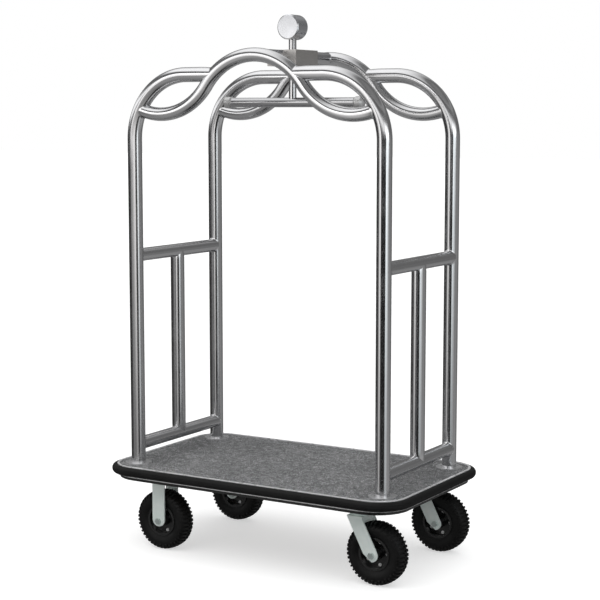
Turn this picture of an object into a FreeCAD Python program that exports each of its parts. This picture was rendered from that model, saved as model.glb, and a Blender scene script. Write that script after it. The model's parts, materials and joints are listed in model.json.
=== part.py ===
"""Hotel luggage cart: two looped tube arches over a carpeted deck on four pneumatic casters.

Frame: origin on the ground under the middle of the deck, X along the deck towards the swivel
casters, Y across it towards the back, Z up. Millimetres. Each piece is one labelled object of
the document and is written to parts/ under its label.
"""
import FreeCAD, Part
import math
import os

import Sketcher
from FreeCAD import Rotation, Vector

# Driving dimensions: alias, value, meaning.
SIZES = (
    ("gap", 0.05, "free space round a fitted round piece"),
    ("lap", 1, "overlap of solids that are fused, and overrun of cuts"),
    ("deck_length", 1100, "over the metal lips"),
    ("deck_width", 650, "over the metal lips"),
    ("deck_corner", 100, "corner radius of the lips"),
    ("deck_top", 292, "top of the upper lip"),
    ("trim_depth", 8, "lip from its edge to the board"),
    ("trim_height", 35.5, "edge trim, lip to lip"),
    ("trim_web", 2, "web behind the bumper"),
    ("lip_upper", 2.5, "thickness of the upper lip"),
    ("lip_lower", 3.5, "thickness of the lower lip"),
    ("carpet_inset", 1.5, "carpet pile below the upper lip"),
    ("carpet_thick", 6.5, "carpet with its underlay"),
    ("lip_reach", 3, "lower lip beyond the upper lip"),
    ("relief", 16, "larger corner radius of the lower lip and the base frame"),
    ("bumper_out", 18, "bumper beyond the upper lip"),
    ("bumper_round", 14, "edge radius of the bumper"),
    ("groove_pitch", 9.6, "height from groove to groove of the bumper"),
    ("groove_wide", 1.4, "width of the bumper's grooves"),
    ("groove_deep", 1.5, "depth of the bumper's grooves"),
    ("frame_inset", 3, "base frame inside the lips"),
    ("frame_thick", 10.5, "base frame depth"),
    ("frame_steel", 3, "sheet of the base frame"),
    ("frame_bar", 44, "width of the base frame's bars"),
    ("pad_half", 62, "half width of the frame's caster seats"),
    ("post_x", 473, "posts from the middle, along X"),
    ("post_y", 239.5, "posts from the middle, along Y"),
    ("post_d", 48.3, "post tube diameter"),
    ("tube_d", 44.5, "wave and rail tube diameter"),
    ("wall", 1.5, "tube wall"),
    ("arch_top", 1604.5, "centre line of the arch's level run"),
    ("arch_bend", 210, "centre-line radius of the arch's bend"),
    ("crest", 1665, "wave crest centre line"),
    ("wave_run", 363.3, "wave crest to valley, along X"),
    ("wave_drop", 189, "wave crest to valley, down"),
    ("wave_end", 447, "wave end centre, inside the arch tube"),
    ("rail_upper", 1003, "upper side rail centre line"),
    ("rail_lower", 355, "lower side rail centre line"),
    ("flange_d", 90, "foot flange diameter"),
    ("flange_rise", 2.5, "foot flange above the carpet"),
    ("flange_hole", 92, "cut-out of the carpet round a flange"),
    ("screw_ring", 34, "radius of the flange's screw circle"),
    ("screw_d", 4.5, "flange screw shank"),
    ("screw_head", 9, "flange screw head"),
    ("screw_long", 24, "flange screw length"),
    ("screw_sink", 0.5, "flange screw head below the flange"),
    ("block_x", 110, "centre block along X"),
    ("block_y", 140, "centre block along Y"),
    ("block_z", 52.5, "centre block height"),
    ("block_mid", 1659.5, "centre block middle"),
    ("cross_d", 40, "cross tube diameter"),
    ("rod_d", 25.4, "centre rod diameter"),
    ("disc_d", 82, "finial drum diameter"),
    ("disc_long", 65, "finial drum length"),
    ("disc_mid", 1761, "finial drum centre"),
    ("disc_edge", 3.8, "finial drum chamfer"),
    ("bar_d", 32, "hanging bar diameter"),
    ("bar_mid", 1515, "hanging bar centre line"),
    ("bar_half", 236, "hanging bar half length"),
    ("knob_d", 39, "end knob diameter"),
    ("knob_long", 36, "end knob length"),
    ("knob_nose", 24, "radius of the end knob's round nose"),
    ("knob_neck", 6, "length of the end knob's cone"),
    ("knob_plug", 10, "end knob's plug inside the bar"),
    ("axle_height", 102.5, "wheel centre above the ground"),
    ("caster_y", 226, "casters from the middle, along Y"),
    ("fixed_x", 372, "fixed casters from the middle"),
    ("swivel_x", 388.5, "swivel pivots from the middle"),
    ("trail", 61, "swivel wheel centre behind its pivot"),
    ("plate_x", 110, "caster plate along X"),
    ("plate_y", 100, "caster plate along Y"),
    ("plate_thick", 6, "caster plate"),
    ("plate_hole", 9, "caster plate bolt hole"),
    ("hole_x", 86, "caster bolt spacing along X"),
    ("hole_y", 76, "caster bolt spacing along Y"),
    ("plate_bolt", 8, "caster plate bolt"),
    ("plate_bolt_flats", 13, "caster plate bolt head, across flats"),
    ("plate_bolt_head", 5.3, "caster plate bolt head height"),
    ("plate_bolt_short", 0.5, "caster plate bolt's end below the board"),
    ("fork_wide", 83, "fork over its legs"),
    ("fork_steel", 5, "fork leg thickness"),
    ("leg_wide", 49, "width of a fixed fork leg"),
    ("leg_low", 108.5, "centre of a fixed leg's round end"),
    ("crown_top", 222, "swivel fork crown"),
    ("crown_back", 28.5, "crown behind the pivot"),
    ("crown_front", 27.5, "crown ahead of the pivot"),
    ("crown_side", 8, "straight front edge of a swivel leg"),
    ("crown_lip", 17, "turned-down front edge of the crown"),
    ("leg_rake", 27.1, "slope of a swivel leg, degrees"),
    ("leg_tip", 21, "radius of a swivel leg's end"),
    ("tip_cut", 29.5, "swivel leg's cut corner, along X"),
    ("tip_rise", 2.5, "swivel leg's cut corner above the axle"),
    ("race_out", 34, "ball race outer radius"),
    ("race_in", 14, "ball race inner radius"),
    ("race_high", 7, "height of each race"),
    ("ball_d", 8, "swivel ball"),
    ("ball_ring", 24, "radius of the ball circle"),
    ("king_d", 10, "king bolt"),
    ("king_flats", 17, "king bolt head, across flats"),
    ("king_head", 6.4, "king bolt head height"),
    ("axle_d", 12, "axle bolt"),
    ("axle_flats", 19, "axle bolt head and nut, across flats"),
    ("axle_head", 7.5, "axle bolt head height"),
    ("axle_nut", 10, "axle nut height"),
    ("axle_stand", 4, "axle bolt beyond its nut"),
    ("sleeve_d", 16, "spacer sleeve on the axle bolt"),
    ("bearing_d", 35, "hub bearing outside"),
    ("bearing_wide", 11, "hub bearing width"),
    ("bearing_sink", 1, "hub bearing inside the barrel's mouth"),
    ("hub_half", 30, "hub barrel from the wheel's middle"),
    ("rim_steel", 2.5, "rim plate thickness"),
    ("rim_fold", 2, "chamfer where the rim plate turns into its barrels"),
    ("rim_seat", 49, "bead seat radius"),
    ("rim_edge", 54, "rim flange radius"),
    ("bead_half", 24, "tyre beads from the wheel's middle"),
    ("rim_bolt_ring", 38, "radius of the rim bolt circle"),
    ("rim_bolt", 6, "rim bolt"),
    ("rim_bolt_flats", 10, "rim bolt head, across flats"),
    ("rim_bolt_head", 4, "rim bolt head height"),
    ("rim_bolt_stand", 2, "rim bolt beyond its nut"),
    ("tyre_half", 32, "tyre's widest point from its middle"),
    ("tyre_bead", 6, "tyre bead thickness"),
    ("tyre_side", 37, "sidewall arc radius"),
    ("bead_top", 55.5, "top of the tyre bead"),
    ("shoulder", 94, "radius of the tyre's shoulder"),
    ("shoulder_half", 29, "tyre shoulder from its middle"),
    ("tread_edge", 100, "radius of the tread's edge"),
    ("tread_half", 22, "tread's edge from its middle"),
    ("tread_crown", 98, "arc radius across the tread"),
    ("cavity_top", 91, "radius of the tyre's inner crown"),
    ("cavity_half", 24, "tyre's inner shoulder from its middle"),
    ("cavity_side", 60, "arc radius of the tyre's inner side"),
    ("air_ring", 72, "radius of the inner tube's centre line"),
    ("air_d", 33, "inner tube section"),
    ("air_wall", 2, "inner tube wall"),
    ("valve_d", 6, "valve stem"),
    ("valve_free", 0.2, "free space round the valve stem in the rim"),
    ("valve_side", 12, "valve stem from the wheel's middle"),
    ("valve_low", 30, "radius of the valve's mouth"),
)

BALLS = 12
RIM_BOLTS = 5
FLANGE_SCREWS = 3

# Heights and radii that several pieces share.
BOARD_TOP = "cart.deck_top - cart.carpet_inset - cart.carpet_thick"
BOARD_LOW = "cart.deck_top - cart.trim_height"
FRAME_LOW = "cart.deck_top - cart.trim_height - cart.frame_thick"
PLATE_LOW = "cart.deck_top - cart.trim_height - cart.frame_thick - cart.plate_thick"
FLANGE_THICK = "cart.carpet_thick + cart.flange_rise"
WAVE_BEND = "(cart.wave_run^2 + cart.wave_drop^2) / (4 * cart.wave_drop)"
BALL_HEIGHT = "cart.crown_top + (%s - cart.crown_top) / 2" % PLATE_LOW

# Rotations named by where they send the local Z axis.
Z_TO_X = Rotation(Vector(0, 1, 0), 90)
Z_TO_Y = Rotation(Vector(1, 0, 0), -90)
Z_TO_FRONT = Rotation(Vector(1, 0, 0), 90)
HALF_TURN = Rotation(Vector(0, 0, 1), 180)

doc = FreeCAD.newDocument("luggage_cart")
pieces = []


def make_sheet():
    """The driving dimensions, each under its alias."""
    cells = doc.addObject("Spreadsheet::Sheet", "cart")
    for row, (alias, number, meaning) in enumerate(SIZES, start=1):
        cells.set("A%d" % row, alias)
        cells.set("B%d" % row, str(number))
        cells.setAlias("B%d" % row, alias)
        cells.set("C%d" % row, meaning)
    doc.recompute()
    return cells


sheet = make_sheet()


# ---------------------------------------------------------------- helpers

def value(expression):
    """The number that an expression on the sheet gives."""
    return float(sheet.evalExpression(expression))


def bind(item, **sizes):
    """Tie properties of an object to expressions."""
    for name, expression in sizes.items():
        item.setExpression(name, expression)
    return item


def put(item, x="0", y="0", z="0", turn=None):
    """Turn an object, then tie its place to three expressions."""
    if turn is not None:
        item.Placement = FreeCAD.Placement(Vector(), turn)
    for axis, expression in zip("xyz", (x, y, z)):
        item.setExpression("Placement.Base." + axis, expression)
    return item


def keep(item, label):
    """Name a finished piece and list it for writing."""
    item.Label = label
    pieces.append(item)
    return item


def new_body(name):
    return doc.addObject("PartDesign::Body", name)


def origin_part(body, role):
    """The body's own origin plane or axis with this role."""
    return next(part for part in body.Origin.OriginFeatures if part.Role == role)


def new_sketch(body, role, lift=None):
    """A sketch on one of the body's origin planes, lifted off it by an expression."""
    sketch = body.newObject("Sketcher::SketchObject", "Sketch")
    sketch.AttachmentSupport = [(origin_part(body, role), "")]
    sketch.MapMode = "FlatFace"
    if lift is not None:
        sketch.setExpression("AttachmentOffset.Base.z", lift)
    return sketch


def constrain(sketch, expression, kind, *where):
    """Add a dimension that follows an expression."""
    number = sketch.addConstraint(Sketcher.Constraint(kind, *where, value(expression)))
    sketch.setExpression("Constraints[%d]" % number, expression)


def tie(sketch, edge, point, x, y):
    """Tie a point of an edge to the sketch's origin."""
    constrain(sketch, x, "DistanceX", -1, 1, edge, point)
    constrain(sketch, y, "DistanceY", -1, 1, edge, point)


def circle(sketch, diameter, x="0", y="0"):
    centre = Vector(value(x), value(y), 0)
    round_edge = Part.Circle(centre, Vector(0, 0, 1), value(diameter) / 2)
    edge = sketch.addGeometry(round_edge, False)
    tie(sketch, edge, 3, x, y)
    constrain(sketch, diameter, "Diameter", edge)


def ring(sketch, diameter, thick, x="0", y="0"):
    """Two circles, one wall thickness apart."""
    circle(sketch, diameter, x, y)
    circle(sketch, "%s - 2 * %s" % (diameter, thick), x, y)


def arc_geometry(start, end, radius, side):
    """The short arc from start to end with its centre on this side of the way."""
    chord = end - start
    half = chord.Length / 2
    left = Vector(-chord.y, chord.x, 0).normalize()
    lift = math.sqrt(max(radius * radius - half * half, 0.0))
    centre = start + chord * 0.5 + left * (lift if side == "left" else -lift)
    first, last = (start, end) if side == "left" else (end, start)
    angles = [math.atan2(p.y - centre.y, p.x - centre.x) for p in (first, last)]
    return Part.ArcOfCircle(Part.Circle(centre, Vector(0, 0, 1), radius), *angles)


def outline(sketch, corners, closed=True):
    """Join corners, each (x, y) or (x, y, radius, side) where an arc arrives at it."""
    places = [Vector(value(c[0]), value(c[1]), 0) for c in corners]
    first = 0 if closed else 1
    previous = None
    opening = None
    for index in range(first, len(corners)):
        corner = corners[index]
        start, end = places[index - 1], places[index]
        head, tail = 1, 2
        if len(corner) == 2:
            edge = sketch.addGeometry(Part.LineSegment(start, end), False)
        else:
            arc = arc_geometry(start, end, value(corner[2]), corner[3])
            edge = sketch.addGeometry(arc, False)
            constrain(sketch, corner[2], "Radius", edge)
            if corner[3] == "right":
                head, tail = 2, 1
        if previous is None:
            opening = (edge, head)
        else:
            sketch.addConstraint(Sketcher.Constraint("Coincident", *previous, edge, head))
        tie(sketch, edge, tail, corner[0], corner[1])
        previous = (edge, tail)
    if closed:
        sketch.addConstraint(Sketcher.Constraint("Coincident", *previous, *opening))
    else:
        tie(sketch, *opening, corners[0][0], corners[0][1])


def rectangle(sketch, low_x, low_y, high_x, high_y):
    corners = ((low_x, low_y), (high_x, low_y), (high_x, high_y), (low_x, high_y))
    outline(sketch, corners)


def deck_outline(sketch, inset, relief="0"):
    """The deck's rounded rectangle, moved in from the lips' edge; relief widens its corners."""
    across = "(cart.deck_length / 2 - (%s))" % inset
    deep = "(cart.deck_width / 2 - (%s))" % inset
    bend = "(cart.deck_corner - (%s) + %s)" % (inset, relief)
    short_x = "%s - %s" % (across, bend)
    short_y = "%s - %s" % (deep, bend)
    outline(sketch, (
        (across, short_y),
        (short_x, deep, bend, "left"),
        ("-(%s)" % short_x, deep),
        ("-" + across, short_y, bend, "left"),
        ("-" + across, "-(%s)" % short_y),
        ("-(%s)" % short_x, "-" + deep, bend, "left"),
        (short_x, "-" + deep),
        (across, "-(%s)" % short_y, bend, "left"),
    ))


def pad(body, sketch, length, symmetric=False):
    feature = body.newObject("PartDesign::Pad", "Pad")
    feature.Profile = sketch
    feature.SideType = "Symmetric" if symmetric else "One side"
    return bind(feature, Length=length)


def pocket(body, sketch, length):
    """Cut a sketch both ways from its plane."""
    feature = body.newObject("PartDesign::Pocket", "Pocket")
    feature.Profile = sketch
    feature.SideType = "Symmetric"
    return bind(feature, Length=length)


def turned(body, sketch, kind="Revolution"):
    """Turn a sketch about its own vertical axis."""
    feature = body.newObject("PartDesign::" + kind, kind)
    feature.Profile = sketch
    feature.ReferenceAxis = (sketch, ["V_Axis"])
    feature.Angle = 360
    return feature


def pipe(body, profile, path):
    feature = body.newObject("PartDesign::AdditivePipe", "Pipe")
    feature.Profile = profile
    feature.Spine = path
    return feature


def cylinder(radius, height):
    return bind(doc.addObject("Part::Cylinder", "Cylinder"), Radius=radius, Height=height)


def torus(major, minor, sweep=360):
    feature = doc.addObject("Part::Torus", "Torus")
    feature.Angle3 = sweep
    return bind(feature, Radius1=major, Radius2=minor)


def compound(*links):
    feature = doc.addObject("Part::Compound", "Compound")
    feature.Links = list(links)
    return feature


def cut(base, *tools):
    feature = doc.addObject("Part::Cut", "Cut")
    feature.Base = base
    feature.Tool = tools[0] if len(tools) == 1 else compound(*tools)
    return feature


def fuse(base, tool):
    feature = doc.addObject("Part::Fuse", "Fuse")
    feature.Base = base
    feature.Tool = tool
    return feature


def hexagon(flats, height):
    feature = doc.addObject("Part::Prism", "Prism")
    feature.Polygon = 6
    return bind(feature, Circumradius="%s / sqrt(3)" % flats, Height=height)


def hex_bolt(diameter, length, flats, head):
    """A bolt along +Z: the head below zero, the shank from inside the head upwards."""
    cap = put(hexagon(flats, head), z="-(%s)" % head)
    shank = cylinder(diameter + " / 2", "%s + cart.lap" % length)
    return fuse(cap, put(shank, z="-cart.lap"))


def hex_nut(diameter, flats, height):
    """A nut standing on zero."""
    hole = cylinder("%s / 2 + cart.gap" % diameter, "%s + 2 * cart.lap" % height)
    return cut(hexagon(flats, height), put(hole, z="-cart.lap"))


def signs():
    """The four corners of the cart."""
    return [(x, y) for x in (-1, 1) for y in (-1, 1)]


# ---------------------------------------------------------------- tube frame

def post(label, x_side, y_side):
    """A post that rises from the board, bends over and runs level to the wave."""
    body = new_body("Post")
    rise = "cart.arch_top - (%s)" % BOARD_TOP
    profile = new_sketch(body, "XY_Plane")
    ring(profile, "cart.post_d", "cart.wall")
    path = new_sketch(body, "XZ_Plane")
    outline(path, (
        ("0", "0"),
        ("0", "%s - cart.arch_bend" % rise),
        ("cart.arch_bend", rise, "cart.arch_bend", "right"),
        ("cart.post_x - sqrt((%s)^2 - (%s)^2)" % (WAVE_BEND, wave_centre_below_arch()), rise),
    ), closed=False)
    pipe(body, profile, path)
    wave = torus(WAVE_BEND, "cart.tube_d / 2 + cart.gap")
    put(wave, "cart.post_x", "0", "cart.crest - %s - (%s)" % (WAVE_BEND, BOARD_TOP), Z_TO_Y)
    turn = HALF_TURN if x_side > 0 else Rotation()
    coped = cut(body, wave)
    put(coped, "%d * cart.post_x" % x_side, "%d * cart.post_y" % y_side, BOARD_TOP, turn)
    keep(coped, label)


def wave_centre_below_arch():
    """The crest arc's centre, measured down from the arch's level run."""
    return "cart.arch_top - cart.crest + %s" % WAVE_BEND


def wave_tube(label, y_side):
    """An S-curved tube from arch bend to arch bend, highest in the middle."""
    body = new_body("Wave")
    profile = new_sketch(body, "YZ_Plane")
    ring(profile, "cart.tube_d", "cart.wall")
    bend = WAVE_BEND
    end_rise = "%s - sqrt((%s)^2 - (cart.wave_end - cart.wave_run)^2)" % (bend, bend)
    path = new_sketch(body, "XZ_Plane")
    outline(path, (
        ("0", "0"),
        ("cart.wave_run / 2", "-cart.wave_drop / 2", bend, "right"),
        ("cart.wave_end", "%s - cart.wave_drop" % end_rise, bend, "left"),
    ), closed=False)
    half = pipe(body, profile, path)
    whole = body.newObject("PartDesign::Mirrored", "Mirrored")
    whole.Originals = [half]
    whole.MirrorPlane = (origin_part(body, "YZ_Plane"), [""])
    body.Tip = whole
    coped = cut(body, arch_bend(-1), arch_bend(1))
    put(coped, "0", "%d * cart.post_y" % y_side, "cart.crest")
    keep(coped, label)


def arch_bend(x_side):
    """The quarter bend of an arch, as a solid that copes what meets it."""
    bend = torus("cart.arch_bend", "cart.post_d / 2 + cart.gap", 90)
    turn = Rotation(Vector(x_side, 0, 0), Vector(0, 0, 1), Vector(0, -x_side, 0), "XYZ")
    x = "%d * (cart.post_x - cart.arch_bend)" % x_side
    return put(bend, x, "0", "cart.arch_top - cart.arch_bend - cart.crest", turn)


def coped_tube(diameter, span, end_diameter):
    """A tube along Z between two round members that lie along X, one at each end."""
    body = new_body("Tube")
    profile = new_sketch(body, "XY_Plane")
    ring(profile, diameter, "cart.wall")
    pad(body, profile, span, symmetric=True)
    ends = []
    for side in (-1, 1):
        member = cylinder("%s / 2 + cart.gap" % end_diameter, diameter + " * 2")
        ends.append(put(member, "-" + diameter, "0", "%d * (%s) / 2" % (side, span), Z_TO_X))
    return cut(body, *ends)


def side_rail(label, x_side, height):
    rail = coped_tube("cart.tube_d", "2 * cart.post_y", "cart.post_d")
    turn = Rotation(Vector(0, 0, 1), Vector(1, 0, 0), Vector(0, 1, 0), "XYZ")
    keep(put(rail, "%d * cart.post_x" % x_side, "0", height, turn), label)


def centre_bar(label, x_side):
    bar = coped_tube("cart.post_d", "cart.rail_upper - cart.rail_lower", "cart.tube_d")
    turn = Rotation(Vector(0, 1, 0), Vector(-1, 0, 0), Vector(0, 0, 1), "XYZ")
    middle = "(cart.rail_upper + cart.rail_lower) / 2"
    keep(put(bar, "%d * cart.post_x" % x_side, "0", middle, turn), label)


def cross_tubes():
    """Two stubs from the centre block to the wave crests."""
    stubs = []
    for side in (-1, 1):
        body = new_body("Stub")
        profile = new_sketch(body, "XY_Plane", "cart.block_y / 2")
        ring(profile, "cart.cross_d", "cart.wall")
        pad(body, profile, "cart.post_y - cart.block_y / 2")
        put(body, turn=Z_TO_Y if side > 0 else Z_TO_FRONT)
        wave = torus(WAVE_BEND, "cart.tube_d / 2 + cart.gap")
        put(wave, "0", "%d * cart.post_y" % side, "-(%s)" % WAVE_BEND, Z_TO_Y)
        stubs.append(cut(body, wave))
    keep(put(compound(*stubs), z="cart.crest"), "cross_tubes")


def centre_block():
    """A closed box that ties the cross tubes and the rod together."""
    body = new_body("Block")
    face = new_sketch(body, "XY_Plane")
    half_x = "cart.block_x / 2"
    half_y = "cart.block_y / 2"
    rectangle(face, "-" + half_x, "-" + half_y, half_x, half_y)
    pad(body, face, "cart.block_z", symmetric=True)
    hole = new_sketch(body, "XY_Plane")
    circle(hole, "cart.rod_d + 2 * cart.gap")
    pocket(body, hole, "cart.block_z * 2")
    keep(put(body, z="cart.block_mid"), "centre_block")


def centre_rod():
    """The rod from the hanging bar up through the block to the finial drum."""
    rod = cylinder("cart.rod_d / 2", "cart.disc_mid - cart.bar_mid")
    bar = cylinder("cart.bar_d / 2 + cart.gap", "cart.rod_d * 2")
    put(bar, "-cart.rod_d", turn=Z_TO_X)
    drum = cylinder("cart.disc_d / 2 + cart.gap", "cart.rod_d * 2")
    put(drum, "0", "-cart.rod_d", "cart.disc_mid - cart.bar_mid", Z_TO_Y)
    keep(put(cut(rod, bar, drum), z="cart.bar_mid"), "centre_rod")


def finial_disc():
    body = new_body("Finial")
    face = new_sketch(body, "XZ_Plane")
    circle(face, "cart.disc_d")
    drum = pad(body, face, "cart.disc_long", symmetric=True)
    doc.recompute()
    edge = body.newObject("PartDesign::Chamfer", "Chamfer")
    edge.Base = (drum, round_edges(drum.Shape, value("cart.disc_d / 2")))
    bind(edge, Size="cart.disc_edge")
    keep(put(body, z="cart.disc_mid"), "finial_disc")


def round_edges(shape, radius):
    """Names of the circular edges with this radius."""
    names = []
    for number, edge in enumerate(shape.Edges, start=1):
        curve = edge.Curve
        if isinstance(curve, Part.Circle) and abs(curve.Radius - radius) < 1e-6:
            names.append("Edge%d" % number)
    return names


def hanger_bar():
    body = new_body("Bar")
    profile = new_sketch(body, "YZ_Plane")
    ring(profile, "cart.bar_d", "cart.wall")
    pad(body, profile, "2 * cart.bar_half", symmetric=True)
    keep(put(body, z="cart.bar_mid"), "hanger_bar")


def hanger_end_knobs():
    """Round-nosed caps that close the hanging bar, one at each end."""
    knobs = []
    for side in (-1, 1):
        body = new_body("Knob")
        profile = new_sketch(body, "XZ_Plane")
        wide = "cart.knob_d / 2"
        inner = "cart.bar_d / 2 - cart.wall - cart.gap"
        shoulder = "cart.knob_long - cart.knob_nose + sqrt(cart.knob_nose^2 - (%s)^2)" % wide
        outline(profile, (
            ("0", "-cart.knob_plug"),
            (inner, "-cart.knob_plug"),
            (inner, "0"),
            ("cart.bar_d / 2", "0"),
            (wide, "cart.knob_neck"),
            (wide, shoulder),
            ("0", "cart.knob_long", "cart.knob_nose", "left"),
        ))
        turned(body, profile)
        turn = Rotation(Vector(0, 1, 0), 90 * side)
        knobs.append(put(body, "%d * (cart.bar_half + cart.gap)" % side, turn=turn))
    keep(put(compound(*knobs), z="cart.bar_mid"), "hanger_end_knobs")


# ---------------------------------------------------------------- post feet

def post_flanges():
    """Four round foot plates, welded to the posts and screwed to the board."""
    plates = []
    for x, y in signs():
        body = new_body("Flange")
        profile = new_sketch(body, "XY_Plane")
        circle(profile, "cart.flange_d")
        circle(profile, "cart.post_d + 2 * cart.gap")
        pad(body, profile, FLANGE_THICK)
        holes = new_sketch(body, "XY_Plane")
        for across, deep in screw_places():
            circle(holes, "cart.screw_head + 2 * cart.gap", across, deep)
        pocket(body, holes, "4 * (%s)" % FLANGE_THICK)
        plates.append(put(body, "%d * cart.post_x" % x, "%d * cart.post_y" % y))
    keep(put(compound(*plates), z=BOARD_TOP), "post_flanges")


def screw_places(x_side=0, y_side=0):
    """Screw centres round one post, or round the corner's post when given sides."""
    places = []
    for number in range(FLANGE_SCREWS):
        angle = 90 + 360 / FLANGE_SCREWS * number
        across = "%d * cart.post_x + cart.screw_ring * cos(%g)" % (x_side, angle)
        deep = "%d * cart.post_y + cart.screw_ring * sin(%g)" % (y_side, angle)
        places.append((across, deep))
    return places


def flange_screws():
    """Cheese-head screws sunk in the flanges, with their shanks in the board."""
    screws = []
    for x_side, y_side in signs():
        for x, y in screw_places(x_side, y_side):
            shank = cylinder("cart.screw_d / 2", "cart.screw_long")
            put(shank, z="-cart.screw_long")
            head = cylinder("cart.screw_head / 2", "%s - cart.screw_sink" % FLANGE_THICK)
            screws.append(put(fuse(shank, head), x, y))
    keep(put(compound(*screws), z=BOARD_TOP), "flange_screws")


# ---------------------------------------------------------------- deck

def deck_board():
    body = new_body("Board")
    sheet_edge = new_sketch(body, "XY_Plane")
    deck_outline(sheet_edge, "cart.trim_depth")
    pad(body, sheet_edge, "%s - (%s)" % (BOARD_TOP, BOARD_LOW))
    holes = new_sketch(body, "XY_Plane", "%s - (%s)" % (BOARD_TOP, BOARD_LOW))
    for x_side, y_side in signs():
        for x, y in screw_places(x_side, y_side):
            circle(holes, "cart.screw_d + 2 * cart.gap", x, y)
    pocket(body, holes, "2 * (cart.screw_long + cart.lap)")
    keep(put(body, z=BOARD_LOW), "deck_board")


def deck_carpet():
    """The carpet inside the lips, cut out round the post flanges."""
    body = new_body("Carpet")
    edge = new_sketch(body, "XY_Plane")
    deck_outline(edge, "cart.trim_depth")
    for x, y in signs():
        circle(edge, "cart.flange_hole", "%d * cart.post_x" % x, "%d * cart.post_y" % y)
    pad(body, edge, "cart.carpet_thick")
    keep(put(body, z=BOARD_TOP), "deck_carpet")


def deck_ring(body, outer, inner, lift, height, relief=("0", "0")):
    """Pad a band that follows the deck's edge; relief is that of its outer and inner side."""
    band = new_sketch(body, "XY_Plane", lift)
    deck_outline(band, outer, relief[0])
    deck_outline(band, inner, relief[1])
    return pad(body, band, height)


def edge_trim():
    """A channel that opens outwards: lower lip, web and shorter upper lip."""
    body = new_body("Trim")
    deck_ring(body, "-cart.lip_reach", "cart.trim_depth", "0", "cart.lip_lower",
              ("cart.relief", "0"))
    web = "cart.trim_depth - cart.trim_web"
    deck_ring(body, web, "cart.trim_depth", "0", "cart.trim_height")
    upper = "cart.trim_height - cart.lip_upper"
    deck_ring(body, "0", "cart.trim_depth", upper, "cart.lip_upper")
    keep(put(body, z=BOARD_LOW), "edge_trim")


def bumper_strip():
    """The rubber band held between the lips: round outer edges and two fine grooves."""
    body = new_body("Bumper")
    web = "cart.trim_depth - cart.trim_web"
    height = "(cart.trim_height - cart.lip_upper - cart.lip_lower)"
    band = deck_ring(body, "-cart.bumper_out", web, "0", height)
    doc.recompute()
    rounding = body.newObject("PartDesign::Fillet", "Fillet")
    reach = value("cart.deck_width / 2 + cart.bumper_out")
    rounding.Base = (band, outer_edges(band.Shape, reach))
    bind(rounding, Radius="cart.bumper_round")
    for side in (-1, 1):
        lift = "%s / 2 + %d * cart.groove_pitch / 2" % (height, side)
        groove = new_sketch(body, "XY_Plane", lift)
        deck_outline(groove, "-cart.bumper_out - cart.lap")
        deck_outline(groove, "cart.groove_deep - cart.bumper_out")
        pocket(body, groove, "cart.groove_wide")
    keep(put(body, z="%s + cart.lip_lower" % BOARD_LOW), "bumper_strip")


def outer_edges(shape, reach):
    """Names of the straight edges that lie this far out in Y, with their chains."""
    names = []
    for number, edge in enumerate(shape.Edges, start=1):
        box = edge.BoundBox
        level = box.ZLength < 1e-6
        if level and abs(box.YMax - reach) < 1e-4 and box.YLength < 1e-4:
            names.append("Edge%d" % number)
    return names


def base_frame():
    """Black sheet pan under the board: windows, a skirt round the edge, four caster seats."""
    body = new_body("Frame")
    bars = new_sketch(body, "XY_Plane", "cart.frame_thick - cart.frame_steel")
    deck_outline(bars, "cart.frame_inset", "cart.relief")
    fixed_low = "-cart.fixed_x - cart.pad_half"
    fixed_high = "-cart.fixed_x + cart.pad_half"
    swivel_low = "cart.swivel_x - cart.pad_half"
    near = "cart.frame_bar / 2"
    far = "cart.deck_width / 2 - cart.frame_bar"
    end = "-cart.deck_length / 2 + cart.frame_bar"
    for low, high in ((fixed_high, "-" + near), (near, swivel_low), (end, fixed_low)):
        rectangle(bars, low, near, high, far)
        rectangle(bars, low, "-(%s)" % far, high, "-" + near)
    pad(body, bars, "cart.frame_steel")
    inner = "cart.frame_inset + cart.frame_steel"
    deck_ring(body, "cart.frame_inset", inner, "0", "cart.frame_thick",
              ("cart.relief", "cart.relief"))
    seats = new_sketch(body, "XY_Plane")
    for side in (-1, 1):
        front = "%d * cart.caster_y - cart.pad_half" % side
        back = "%d * cart.caster_y + cart.pad_half" % side
        rectangle(seats, fixed_low, front, fixed_high, back)
        rectangle(seats, swivel_low, front, "cart.swivel_x + cart.pad_half", back)
    pad(body, seats, "cart.frame_thick")
    holes = new_sketch(body, "XY_Plane")
    for x, y in plate_bolt_places():
        circle(holes, "cart.plate_bolt + 2 * cart.gap", x, y)
    pocket(body, holes, "4 * cart.frame_thick")
    keep(put(body, z=FRAME_LOW), "base_frame")


# ---------------------------------------------------------------- casters

def plate_bolt_places():
    """Centres of the bolts of all four caster plates."""
    places = []
    for middle in ("-cart.fixed_x", "cart.swivel_x"):
        for side in (-1, 1):
            for x, y in signs():
                across = "%s + %d * cart.hole_x / 2" % (middle, x)
                deep = "%d * cart.caster_y + %d * cart.hole_y / 2" % (side, y)
                places.append((across, deep))
    return places


def caster_plate_bolts():
    bolts = []
    for x, y in plate_bolt_places():
        long = "cart.plate_thick + cart.frame_thick - cart.plate_bolt_short"
        bolt = hex_bolt("cart.plate_bolt", long, "cart.plate_bolt_flats", "cart.plate_bolt_head")
        bolts.append(put(bolt, x, y))
    keep(put(compound(*bolts), z=PLATE_LOW), "caster_plate_bolts")


def add_plate(body):
    """The flat top plate of a caster, with its four bolt holes."""
    plate = new_sketch(body, "XY_Plane", PLATE_LOW)
    half_x = "cart.plate_x / 2"
    half_y = "cart.plate_y / 2"
    rectangle(plate, "-" + half_x, "-" + half_y, half_x, half_y)
    for x, y in signs():
        circle(plate, "cart.plate_hole", "%d * cart.hole_x / 2" % x, "%d * cart.hole_y / 2" % y)
    pad(body, plate, "cart.plate_thick")


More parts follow.
